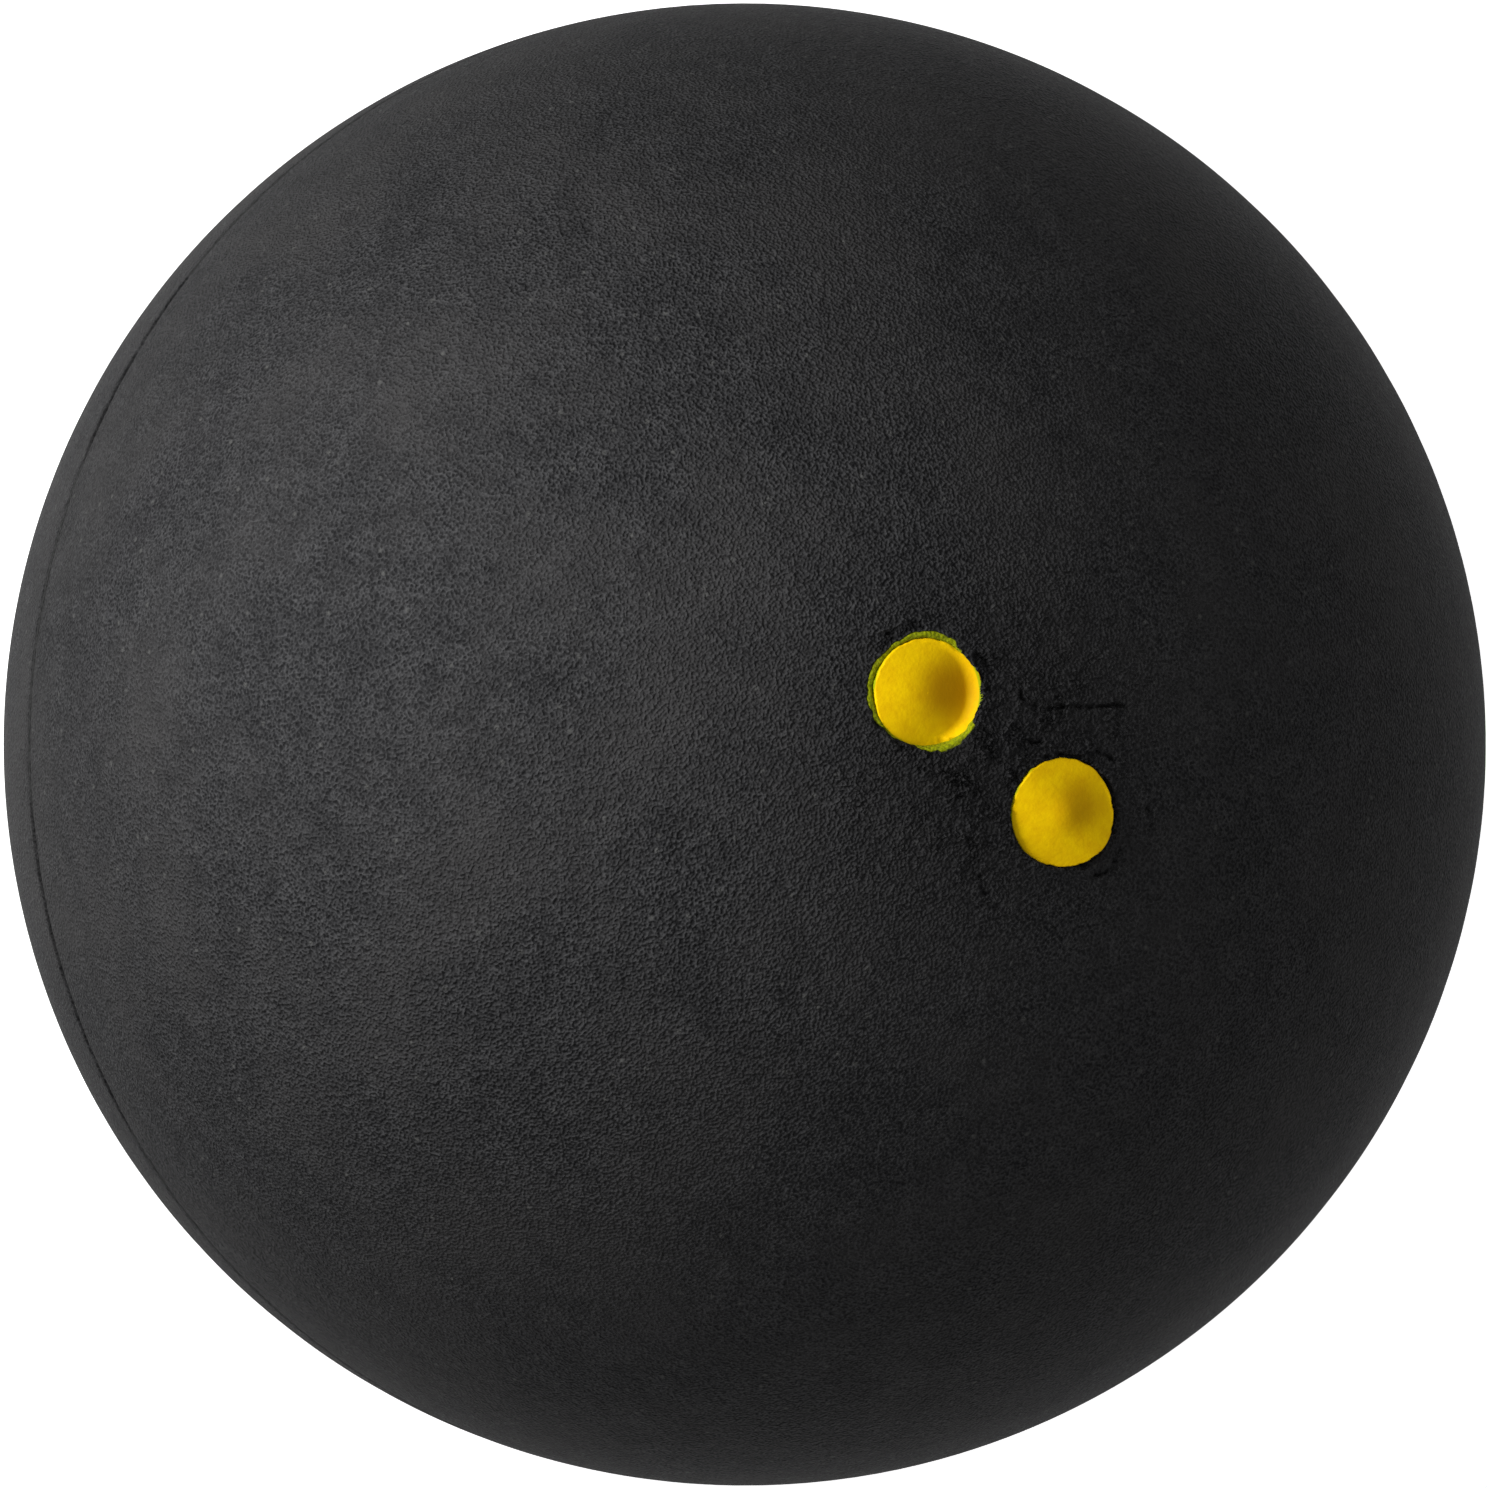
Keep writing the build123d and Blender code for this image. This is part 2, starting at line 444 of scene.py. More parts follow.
# The dark painted as shade in the crumpled skin, its creases, its cracks and the seam's groove.
RUBBER_PAINTED_SHADE = "#080808"
DUST = "#464645"
PAINT_FILM = "#8E970B"
GRAIN_WIDTH = 0.075 * MM
PEBBLE_WIDTH = 0.22 * MM
BLOOM_WIDTH = 5.0 * MM
BLOOM_SHARE = 0.5
DUST_SPACING = 0.65 * MM
DUST_RADIUS = 0.09 * MM
DUST_CORE = 0.3 * DUST_RADIUS
DUST_SHARE = 0.8
DUST_COVER = 0.9
GRAIN_HEIGHT = 0.1 * MM
PEBBLE_SHARE = 0.6
SCUFF = (0.78, 1.15)
CRUMPLE_SHARE = 6.0
CRUMPLE_WIDTH = 0.9 * MM
CREASE_SPACING = 0.6 * MM
CREASE_WIDTH = 0.045 * MM
CREASE_SHARE = 4.0
CREASE_BEND = 0.7 * MM
CREASE_BEND_WAVE = 0.25 * MM
FILM_RUBBED = (0.6, 0.95)
FILM_GRAIN_SHARE = 0.25
RUBBER_ROUGHNESS = 0.6
RUBBER_SPECULAR = 0.015

rubber, rubber_tree, rubber_shader, rubber_place = new_finish("buffed_black_rubber")
grain = add(
    rubber_tree, "ShaderNodeTexNoise",
    {"Vector": rubber_place, "Scale": 1 / GRAIN_WIDTH, "Detail": 0.0, "Distortion": 0.2},
)
pebble = add(
    rubber_tree, "ShaderNodeTexNoise",
    {"Vector": rubber_place, "Scale": 1 / PEBBLE_WIDTH, "Detail": 1.0, "Roughness": 0.5},
)
crumple_here = add(rubber_tree, "ShaderNodeAttribute", attribute_name="crumple").outputs["Fac"]
crumple_patch = add(
    rubber_tree, "ShaderNodeTexNoise", {"Vector": rubber_place, "Scale": 1 / CRUMPLE_WIDTH, "Detail": 1.0}
)
crumple_rough = add(
    rubber_tree, "ShaderNodeMapRange",
    {"Value": crumple_patch, "From Min": 0.35, "From Max": 0.65, "To Max": CRUMPLE_SHARE},
)
crumpled = add(rubber_tree, MATH, {0: crumple_here, 1: crumple_rough, 2: 1.0}, operation="MULTIPLY_ADD")
# Creases near the dots: a net of fine lines with no relief, painted dark as the shade in them.
crease_bend = add(
    rubber_tree, "ShaderNodeTexNoise",
    {"Vector": rubber_place, "Scale": 1 / CREASE_BEND_WAVE, "Detail": 1.0},
).outputs["Color"]
crease_bend = add(rubber_tree, VECTOR_MATH, {0: crease_bend, 1: (0.5, 0.5, 0.5)}, operation="SUBTRACT")
crease_place = add(
    rubber_tree, VECTOR_MATH,
    {0: crease_bend, 1: (CREASE_BEND, CREASE_BEND, CREASE_BEND), 2: rubber_place}, operation="MULTIPLY_ADD",
)
crease_net = add(
    rubber_tree, "ShaderNodeTexVoronoi", {"Vector": crease_place, "Scale": 1 / CREASE_SPACING},
    feature="DISTANCE_TO_EDGE",
)
crease_shade = add(
    rubber_tree, "ShaderNodeMapRange",
    {"Value": crease_net, "From Min": 0.0, "From Max": CREASE_WIDTH / CREASE_SPACING,
     "To Min": 1.0, "To Max": 0.0},
)
crease_share = add(
    rubber_tree, "ShaderNodeMapRange",
    {"Value": crumple_patch, "From Min": 0.46, "From Max": 0.62, "To Max": CREASE_SHARE},
)
crease_share = add(
    rubber_tree, MATH, {0: crease_share, 1: crumple_here}, operation="MULTIPLY", use_clamp=True
)
crease_shade = add(rubber_tree, MATH, {0: crease_shade, 1: crease_share}, operation="MULTIPLY")
relief = add(rubber_tree, MATH, {0: pebble, 1: PEBBLE_SHARE, 2: grain}, operation="MULTIPLY_ADD")
relief = add(rubber_tree, MATH, {0: relief, 1: crumpled}, operation="MULTIPLY")
# The grain's pits are darker than its tops: partly dirt, partly painted shade.
grain_top_share = add(rubber_tree, "ShaderNodeMapRange", {"Value": grain, "From Min": 0.26, "From Max": 0.8})
scuff = add(
    rubber_tree, "ShaderNodeMapRange",
    {"Value": crumple_patch, "From Min": 0.35, "From Max": 0.65, "To Min": SCUFF[0], "To Max": SCUFF[1]},
)
grain_top_share = add(rubber_tree, MATH, {0: grain_top_share, 1: scuff}, operation="MULTIPLY", use_clamp=True)
grained = add(
    rubber_tree, "ShaderNodeMix",
    {"Factor": grain_top_share, "A": linear(RUBBER_PIT), "B": linear(RUBBER_TOP)}, data_type="RGBA",
)
cloud = add(
    rubber_tree, "ShaderNodeTexNoise",
    {"Vector": rubber_place, "Scale": 1 / BLOOM_WIDTH, "Detail": 6.0, "Roughness": 0.65},
)
bloom = add(
    rubber_tree, "ShaderNodeMapRange",
    {"Value": cloud, "From Min": 0.42, "From Max": 0.66, "To Max": BLOOM_SHARE},
)
specks = add(
    rubber_tree, "ShaderNodeTexVoronoi", {"Vector": rubber_place, "Scale": 1 / DUST_SPACING}
).outputs
speck_draw = add(rubber_tree, "ShaderNodeSeparateXYZ", {0: specks["Color"]})
speck_kept = add(rubber_tree, MATH, {0: speck_draw, 1: DUST_SHARE}, operation="LESS_THAN")
speck = add(
    rubber_tree, "ShaderNodeMapRange",
    {"Value": specks["Distance"], "From Min": DUST_CORE / DUST_SPACING,
     "From Max": DUST_RADIUS / DUST_SPACING, "To Min": DUST_COVER, "To Max": 0.0},
)
dust = add(rubber_tree, MATH, {0: speck, 1: speck_kept}, operation="MULTIPLY")
dust_settled = add(
    rubber_tree, "ShaderNodeMapRange",
    {"Value": crumple_here, "From Max": 0.3, "To Min": 1.0, "To Max": 0.0},
)
dust = add(rubber_tree, MATH, {0: dust, 1: dust_settled}, operation="MULTIPLY")
film_drawn = add(rubber_tree, "ShaderNodeAttribute", attribute_name="film").outputs["Fac"]
film_frayed = add(rubber_tree, MATH, {0: pebble, 1: 0.5, 2: film_drawn}, operation="MULTIPLY_ADD")
film_here = add(
    rubber_tree, "ShaderNodeMapRange", {"Value": film_frayed, "From Min": 0.62, "From Max": 0.78}
)
film_rubbed = add(
    rubber_tree, "ShaderNodeMapRange",
    {"Value": grain, "From Min": 0.3, "From Max": 0.6, "To Min": FILM_RUBBED[0], "To Max": FILM_RUBBED[1]},
)
film_share = add(rubber_tree, MATH, {0: film_here, 1: film_rubbed}, operation="MULTIPLY")
film_levels = add(
    rubber_tree, "ShaderNodeMapRange", {"Value": film_here, "To Min": 1.0, "To Max": FILM_GRAIN_SHARE}
)
relief = add(rubber_tree, MATH, {0: relief, 1: film_levels}, operation="MULTIPLY")
bump = add(rubber_tree, "ShaderNodeBump", {"Height": relief, "Distance": GRAIN_HEIGHT, "Strength": 1.0})
crack_and_seam_shade = add(rubber_tree, "ShaderNodeAttribute", attribute_name="crack").outputs["Fac"]
skin_colour = grained.outputs["Result"]
# Mixed in turn: the bloom; painted shade over the crumpled skin near the pole; painted shade in the creases;
# dust; the film of paint; and painted shade in the cracks and the seam's groove, the seam partly also dirt.
for share, colour in (
    (bloom, RUBBER_BLOOM), (crumple_here, RUBBER_PAINTED_SHADE), (crease_shade, RUBBER_PAINTED_SHADE), (dust, DUST),
    (film_share, PAINT_FILM), (crack_and_seam_shade, RUBBER_PAINTED_SHADE),
):
    skin_colour = add(
        rubber_tree, "ShaderNodeMix", {"Factor": share, "A": skin_colour, "B": linear(colour)},
        data_type="RGBA",
    ).outputs["Result"]
rubber_shader.inputs["Roughness"].default_value = RUBBER_ROUGHNESS
rubber_shader.inputs["Specular IOR Level"].default_value = RUBBER_SPECULAR
rubber_tree.links.new(skin_colour, rubber_shader.inputs["Base Color"])
rubber_tree.links.new(bump.outputs["Normal"], rubber_shader.inputs["Normal"])

# The lower half has no dots, so what the form asks of them is nothing here.
shell_sizes = {
    "Ball radius": ball_radius,
    "Wall": WALL,
    "Rim height": rim_height,
    "Rim round": RIM_ROUND,
    "Cells": PLAIN_CELLS,
    "Middle cell share": 0.8,
    "Dot tilt": 0.0,
    "Mouth radius": 0.0,
    "Mouth raggedness": 0.0,
    "Recess depth": 0.0,
    "Recess wall width": 0.1 * MM,
    "Lip rise": 0.0,
    "Lip width": 0.1 * MM,
    "Wrinkle height": 0.0,
    "Wrinkle width": 1.0 * MM,
    "Wrinkle reach": 1.0 * MM,
    "Crack lines": None,
    "Crack width": 0.1 * MM,
    "Crack depth": 0.0,
    "Film lines": None,
    "Film width": 0.1 * MM,
    "Open seam lines": open_seam,
    "Seed": 3.0,
    "Material": rubber,
}
lower_half = formed("rubber_lower_half", shell_form, shell_sizes)
lower_half.data.transform(Matrix.Diagonal((1, 1, -1, 1)))
lower_half.data.flip_normals()
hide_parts("lower_half_shell")
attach(lower_half, "root")


# Seam cement: the thin cured layer of black rubber cement between the two rims. Inside it has squeezed out
# as a low bead; outside it is buffed flush, and has shrunk back where the seam has opened.
CEMENT_DARK = "#141414"
CEMENT_PALE = "#343434"
# The colour where the seam is open: partly dirt, partly painted shade in the open groove.
CEMENT_DIRT_AND_SHADE = "#0E0E0E"
CEMENT_SHRINK = 0.18 * MM
CEMENT_GRAIN_WIDTH = 0.09 * MM
CEMENT_GRAIN_HEIGHT = 0.04 * MM
CEMENT_ROUGHNESS = 0.8
CEMENT_SPECULAR = 0.02

# The section's upper half, as radius and height in millimetres, from the middle of the outer face along the
# rim to the bead's crown. The lower half mirrors it.
CEMENT_UPPER = ((19.998, 0.0), (19.996, 0.075), (15.0, 0.075), (14.985, 0.8), (14.84, 0.55), (14.74, 0.28))
CEMENT_CROWN = (14.7, 0.0)
cement_lower = [(radius, -height) for radius, height in reversed(CEMENT_UPPER[1:])]
cement_section = [cement_lower[-1], *CEMENT_UPPER, CEMENT_CROWN, *cement_lower]
CEMENT_INPUTS = {
    "Profile lines": "NodeSocketObject",
    "Profile points": "NodeSocketInt",
    "Steps around": "NodeSocketInt",
    "Inner radius": "NodeSocketFloat",
    "Ball radius": "NodeSocketFloat",
    "Open seam lines": "NodeSocketObject",
    "Shrink": "NodeSocketFloat",
    "Material": "NodeSocketMaterial",
}
cement_form, given = new_form("seam_cement_form", CEMENT_INPUTS, "Cement")
steps_closed = add(cement_form, MATH, {0: given["Steps around"], 1: 1.0}, operation="ADD")
strip = add(
    cement_form, "GeometryNodeMeshGrid", {"Vertices X": given["Profile points"], "Vertices Y": steps_closed}
)
strip_index = add(cement_form, "GeometryNodeInputIndex")
profile_share = add(cement_form, MATH, {0: strip_index, 1: steps_closed}, operation="DIVIDE")
profile_index = add(cement_form, MATH, {0: profile_share}, operation="FLOOR")
step_index = add(cement_form, MATH, {0: strip_index, 1: steps_closed}, operation="MODULO")
step_share = add(cement_form, MATH, {0: step_index, 1: given["Steps around"]}, operation="DIVIDE")
step_turn = add(cement_form, MATH, {0: step_share, 1: 2 * math.pi}, operation="MULTIPLY")
profile_drawn = add(
    cement_form, "GeometryNodeObjectInfo", {"Object": given["Profile lines"]}
).outputs["Geometry"]
profile_place = add(cement_form, "GeometryNodeInputPosition")
profile_point = add(
    cement_form, "GeometryNodeSampleIndex",
    {"Geometry": profile_drawn, "Value": profile_place, "Index": profile_index},
    data_type="FLOAT_VECTOR", domain="POINT",
)
profile_parts = add(cement_form, "ShaderNodeSeparateXYZ", {0: profile_point}).outputs
round_way = add(
    cement_form, "ShaderNodeCombineXYZ",
    {"X": add(cement_form, MATH, {0: step_turn}, operation="COSINE"),
     "Y": add(cement_form, MATH, {0: step_turn}, operation="SINE")},
)
seam_place = add(cement_form, VECTOR_MATH, {0: round_way, "Scale": given["Ball radius"]}, operation="SCALE")
seam_open = near_lines(cement_form, given["Open seam lines"], SEAM_OPEN_FADE, seam_place)
outer_share = add(
    cement_form, "ShaderNodeMapRange",
    {"Value": profile_parts["X"], "From Min": given["Inner radius"], "From Max": given["Ball radius"]},
)
shrink_here = add(cement_form, MATH, {0: seam_open, 1: given["Shrink"]}, operation="MULTIPLY")
shrink_here = add(cement_form, MATH, {0: shrink_here, 1: outer_share}, operation="MULTIPLY")
cement_radius = add(cement_form, MATH, {0: profile_parts["X"], 1: shrink_here}, operation="SUBTRACT")
cement_level = add(cement_form, VECTOR_MATH, {0: round_way, "Scale": cement_radius}, operation="SCALE")
cement_up = add(cement_form, "ShaderNodeCombineXYZ", {"Z": profile_parts["Y"]})
cement_place = add(cement_form, VECTOR_MATH, {0: cement_level, 1: cement_up}, operation="ADD")
cement_marked = add(
    cement_form, "GeometryNodeStoreNamedAttribute",
    {"Geometry": strip, "Name": "open", "Value": seam_open}, data_type="FLOAT", domain="POINT",
)
cement_turned = add(
    cement_form, "GeometryNodeSetPosition", {"Geometry": cement_marked, "Position": cement_place}
)
cement_closed = add(
    cement_form, "GeometryNodeMergeByDistance", {"Geometry": cement_turned, "Distance": MERGE_DISTANCE}
)
cement_outward = add(cement_form, "GeometryNodeFlipFaces", {"Mesh": cement_closed})
cement_whole = add(cement_form, "GeometryNodeRealizeInstances", {"Geometry": cement_outward})
cement_dressed = add(
    cement_form, "GeometryNodeSetMaterial", {"Geometry": cement_whole, "Material": given["Material"]}
)
add(cement_form, "NodeGroupOutput", {"Cement": cement_dressed})

cement, cement_tree, cement_shader, cement_spot = new_finish("cured_rubber_cement")
cement_grain = add(
    cement_tree, "ShaderNodeTexNoise",
    {"Vector": cement_spot, "Scale": 1 / CEMENT_GRAIN_WIDTH, "Detail": 3.0},
)
cement_tone = add(
    cement_tree, "ShaderNodeMapRange", {"Value": cement_grain, "From Min": 0.3, "From Max": 0.7}
)
cement_open = add(cement_tree, "ShaderNodeAttribute", attribute_name="open").outputs["Fac"]
cement_colour = add(
    cement_tree, "ShaderNodeMix",
    {"Factor": cement_tone, "A": linear(CEMENT_DARK), "B": linear(CEMENT_PALE)}, data_type="RGBA",
).outputs["Result"]
# Where the seam has opened, the cement is darker: partly dirt, partly painted shade in the open groove.
cement_colour = add(
    cement_tree, "ShaderNodeMix", {"Factor": cement_open, "A": cement_colour, "B": linear(CEMENT_DIRT_AND_SHADE)},
    data_type="RGBA",
).outputs["Result"]
cement_bump = add(
    cement_tree, "ShaderNodeBump", {"Height": cement_grain, "Distance": CEMENT_GRAIN_HEIGHT}
)
cement_tree.links.new(cement_colour, cement_shader.inputs["Base Color"])
cement_tree.links.new(cement_bump.outputs["Normal"], cement_shader.inputs["Normal"])
cement_shader.inputs["Roughness"].default_value = CEMENT_ROUGHNESS
cement_shader.inputs["Specular IOR Level"].default_value = CEMENT_SPECULAR
cement_profile = drawn_lines(
    "cement_profile", [[Vector((radius * MM, height * MM, 0)) for radius, height in cement_section]]
)
seam_cement = formed("cement_seam", cement_form, {
    "Profile lines": cement_profile,
    "Profile points": len(cement_section),
    "Steps around": 720,
    "Inner radius": ball_radius - WALL,
    "Ball radius": ball_radius,
    "Open seam lines": open_seam,
    "Shrink": CEMENT_SHRINK,
    "Material": cement,
})
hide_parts("seam_cement")
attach(seam_cement, "root")


# Upper half shell: the like bowl, with the two round recesses that a hot stamp has pressed beside its pole
# for the dots. The stamp has left a low swollen lip, crumpled and cracked skin, and a smear of thinned paint.
DOT_SPACING = 4.76 * MM
MOUTH_RADIUS = 1.45 * MM
RECESS_DEPTH = 0.75 * MM
RECESS_WALL_WIDTH = 0.24 * MM

# The marks in the skin, as lines in millimetres. A lift sets a line off the skin, which makes it fainter.
# A crack is a lift and places over the seam plane. A crease at a mouth is a dot's side, a lift and places
# about that dot, each an angle in degrees and a reach. A film of paint is the same without the lift.
# The angles start from the photograph's right, which is PHOTO_TURN degrees round from +X.
PHOTO_TURN = 39.9
# The cracks are sunk, and their dark colour is painted shade.
CRACKS = (
    (0.01, (-0.5, 1.63), (-0.35, 1.5), (-0.09, 1.48)),
    (0.0, (-0.09, 1.48), (0.38, 1.78), (0.81, 2.2), (1.26, 2.57)),
    (0.02, (1.26, 2.57), (1.57, 2.86), (2.02, 3.24)),
    (0.035, (0.36, 0.67), (0.76, 0.97)),
    (0.035, (2.08, 1.8), (2.55, 1.95)),
    (0.03, (4.14, 1.68), (4.44, 1.53), (4.67, 1.36)),
    (0.02, (4.26, 0.36), (4.37, 0.0)),
    (0.02, (4.18, -0.56), (4.35, -0.36), (4.5, -0.1)),
    (0.02, (1.71, -2.66), (1.97, -2.78), (2.18, -2.87)),
    (0.035, (0.85, -2.15), (1.14, -2.31)),
    (0.0, (-1.98, 1.62), (-1.72, 1.63), (-1.44, 1.57)),
    (0.0, (-1.86, 1.54), (-1.7, 1.54), (-1.5, 1.5)),
    (0.03, (-4.31, -0.2), (-4.16, 0.36), (-3.87, 0.99), (-3.56, 1.48), (-3.32, 1.78)),
)
# The creases at the mouths are sunk, and their dark colour is the painted shadow round each dot.
MOUTH_CREASE_SHADOWS = (
    (-1, 0.02, (92, 1.72), (106, 1.7), (118, 1.62), (130, 1.68), (144, 1.78)),
    (-1, 0.03, (205, 1.53), (218, 1.5), (232, 1.5), (246, 1.52)),
    (-1, 0.03, (8, 1.5), (22, 1.53), (36, 1.56)),
    (1, 0.02, (-82, 1.5), (-60, 1.51), (-40, 1.52), (-20, 1.53), (0, 1.53), (20, 1.5), (38, 1.47)),
    (1, 0.03, (60, 1.48), (85, 1.5), (110, 1.5)),
)
FILMS = (
    (-1, (52, 1.28), (63, 1.4), (75, 1.45), (90, 1.46), (103, 1.43), (114, 1.4), (127, 1.38), (142, 1.4),
     (156, 1.44), (170, 1.47), (186, 1.46), (201, 1.41), (214, 1.35), (232, 1.33)),
    (-1, (-28, 1.26), (-42, 1.36), (-58, 1.41), (-74, 1.4), (-88, 1.36), (-99, 1.28)),
    (1, (146, 1.26), (163, 1.32), (180, 1.33), (197, 1.27)),
)
dot_tilt = math.asin(DOT_SPACING / 2 / ball_radius)


def on_skin(x, y, lift=0.0):
    """The place a lift above the ball's upper skin, over a point of the seam plane."""
    return Vector((x, y, math.sqrt(ball_radius ** 2 - x * x - y * y))) * (1 + lift / ball_radius)


def about_dot(side, reach, turn, depth=0.0):
    """The place a reach from a dot's axis, at a turn about it, and a depth below the ball's skin."""
    level = reach / ball_radius
    way = Vector((level * math.cos(turn), level * math.sin(turn), math.sqrt(1 - level * level)))
    return Matrix.Rotation(side * dot_tilt, 3, "Y") @ way * (ball_radius - depth)


crack_lines = drawn_lines(
    "crack_lines",
    [[on_skin(x * MM, y * MM, lift * MM) for x, y in line] for lift, *line in CRACKS]
    + [
        [about_dot(side, reach * MM, math.radians(PHOTO_TURN + angle), -lift * MM) for angle, reach in line]
        for side, lift, *line in MOUTH_CREASE_SHADOWS
    ],
)
film_lines = drawn_lines("film_lines", [
    [about_dot(side, reach * MM, math.radians(PHOTO_TURN + angle)) for angle, reach in line]
    for side, *line in FILMS
])
upper_half = formed("rubber_upper_half", shell_form, shell_sizes | {
    "Cells": 290,
    "Middle cell share": 0.2,
    "Dot tilt": dot_tilt,
    "Mouth radius": MOUTH_RADIUS,
    "Mouth raggedness": 0.14 * MM,
    "Recess depth": RECESS_DEPTH,
    "Recess wall width": RECESS_WALL_WIDTH,
    "Lip rise": 0.015 * MM,
    "Lip width": 0.5 * MM,
    "Wrinkle height": 0.3 * MM,
    "Wrinkle width": 0.32 * MM,
    "Wrinkle reach": 6.5 * MM,
    "Crack lines": crack_lines,
    "Crack width": 0.1 * MM,
    "Crack depth": 0.09 * MM,
    "Film lines": film_lines,
    "Film width": 0.24 * MM,
    "Seed": 8.0,
})
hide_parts("upper_half_shell")
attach(upper_half, "root")


# Yellow dots: cured marking paint in the two recesses. The stamp came down along the ball's axis, so each
# coat's domed top leans: the first lies deep on the side near the pole, and the second stands proud there.
YELLOW = "#F5CA02"
YELLOW_DULL = "#E7B702"
# A browner dark that stands partly for a worn coat and partly for painted shade on the dots' shaded sides.
YELLOW_WORN_AND_SHADE = "#BE8B02"
YELLOW_THIN = "#8C9A06"
DOT_RINGS = 64
DOT_SEGMENTS = 180
PAINT_OVERLAP = 0.12 * MM
PAINT_WALL_SLOPE = 1.5
PAINT_BACK = 0.08 * MM
PAINT_THIN = 0.07 * MM
VALLEY_FILLET = 0.22 * MM
NIB_RADIUS = 0.42 * MM
EDGE_DIVE = 5.0
EDGE_FADE = 0.04 * MM
FRAY = ((0.03 * MM, 6), (0.02 * MM, 17))
BARE_WOBBLE = 0.5
BOW_ENDS = (1.0 * MM, 2.0 * MM)
MOTTLE_WIDTH = 0.35 * MM
CURDLE_WIDTH = 0.1 * MM
CURDLE_HEIGHT = 0.008 * MM
PAINT_ROUGHNESS = 0.6
PAINT_SPECULAR = 0.05

paint, paint_tree, paint_shader, paint_place = new_finish("cured_yellow_paint")
mottle = add(
    paint_tree, "ShaderNodeTexNoise",
    {"Vector": paint_place, "Scale": 1 / MOTTLE_WIDTH, "Detail": 4.0, "Roughness": 0.6},
)
mottled = add(paint_tree, "ShaderNodeMapRange", {"Value": mottle, "From Min": 0.35, "From Max": 0.7})
paint_colour = add(
    paint_tree, "ShaderNodeMix", {"Factor": mottled, "A": linear(YELLOW), "B": linear(YELLOW_DULL)},
    data_type="RGBA",
).outputs["Result"]
# Darker brown where the coat is worn and as painted shade on the shaded sides, and olive where it is thin.
for share_name, colour in (("worn_and_shade", YELLOW_WORN_AND_SHADE), ("thin", YELLOW_THIN)):
    share_here = add(paint_tree, "ShaderNodeAttribute", attribute_name=share_name).outputs["Fac"]
    paint_colour = add(
        paint_tree, "ShaderNodeMix", {"Factor": share_here, "A": paint_colour, "B": linear(colour)},
        data_type="RGBA",
    ).outputs["Result"]
curdle = add(
    paint_tree, "ShaderNodeTexNoise", {"Vector": paint_place, "Scale": 1 / CURDLE_WIDTH, "Detail": 2.0}
)
paint_bump = add(
    paint_tree, "ShaderNodeBump", {"Height": curdle, "Distance": CURDLE_HEIGHT, "Strength": 1.0}
)
paint_tree.links.new(paint_colour, paint_shader.inputs["Base Color"])
paint_tree.links.new(paint_bump.outputs["Normal"], paint_shader.inputs["Normal"])
paint_shader.inputs["Roughness"].default_value = PAINT_ROUGHNESS
paint_shader.inputs["Specular IOR Level"].default_value = PAINT_SPECULAR


def eased(share):
    """A share from 0 to 1 with a soft start and end."""
    share = min(1.0, max(0.0, share))
    return share * share * (3 - 2 * share)


def bowed(span):
    """How far a bow of one per millimetre falls at a span, levelling out sooner on the +X and +Y sides."""
    bow_end = BOW_ENDS[0] if span > 0 else BOW_ENDS[1]
    return span * span / MM / (1 + (span / bow_end) ** 2)


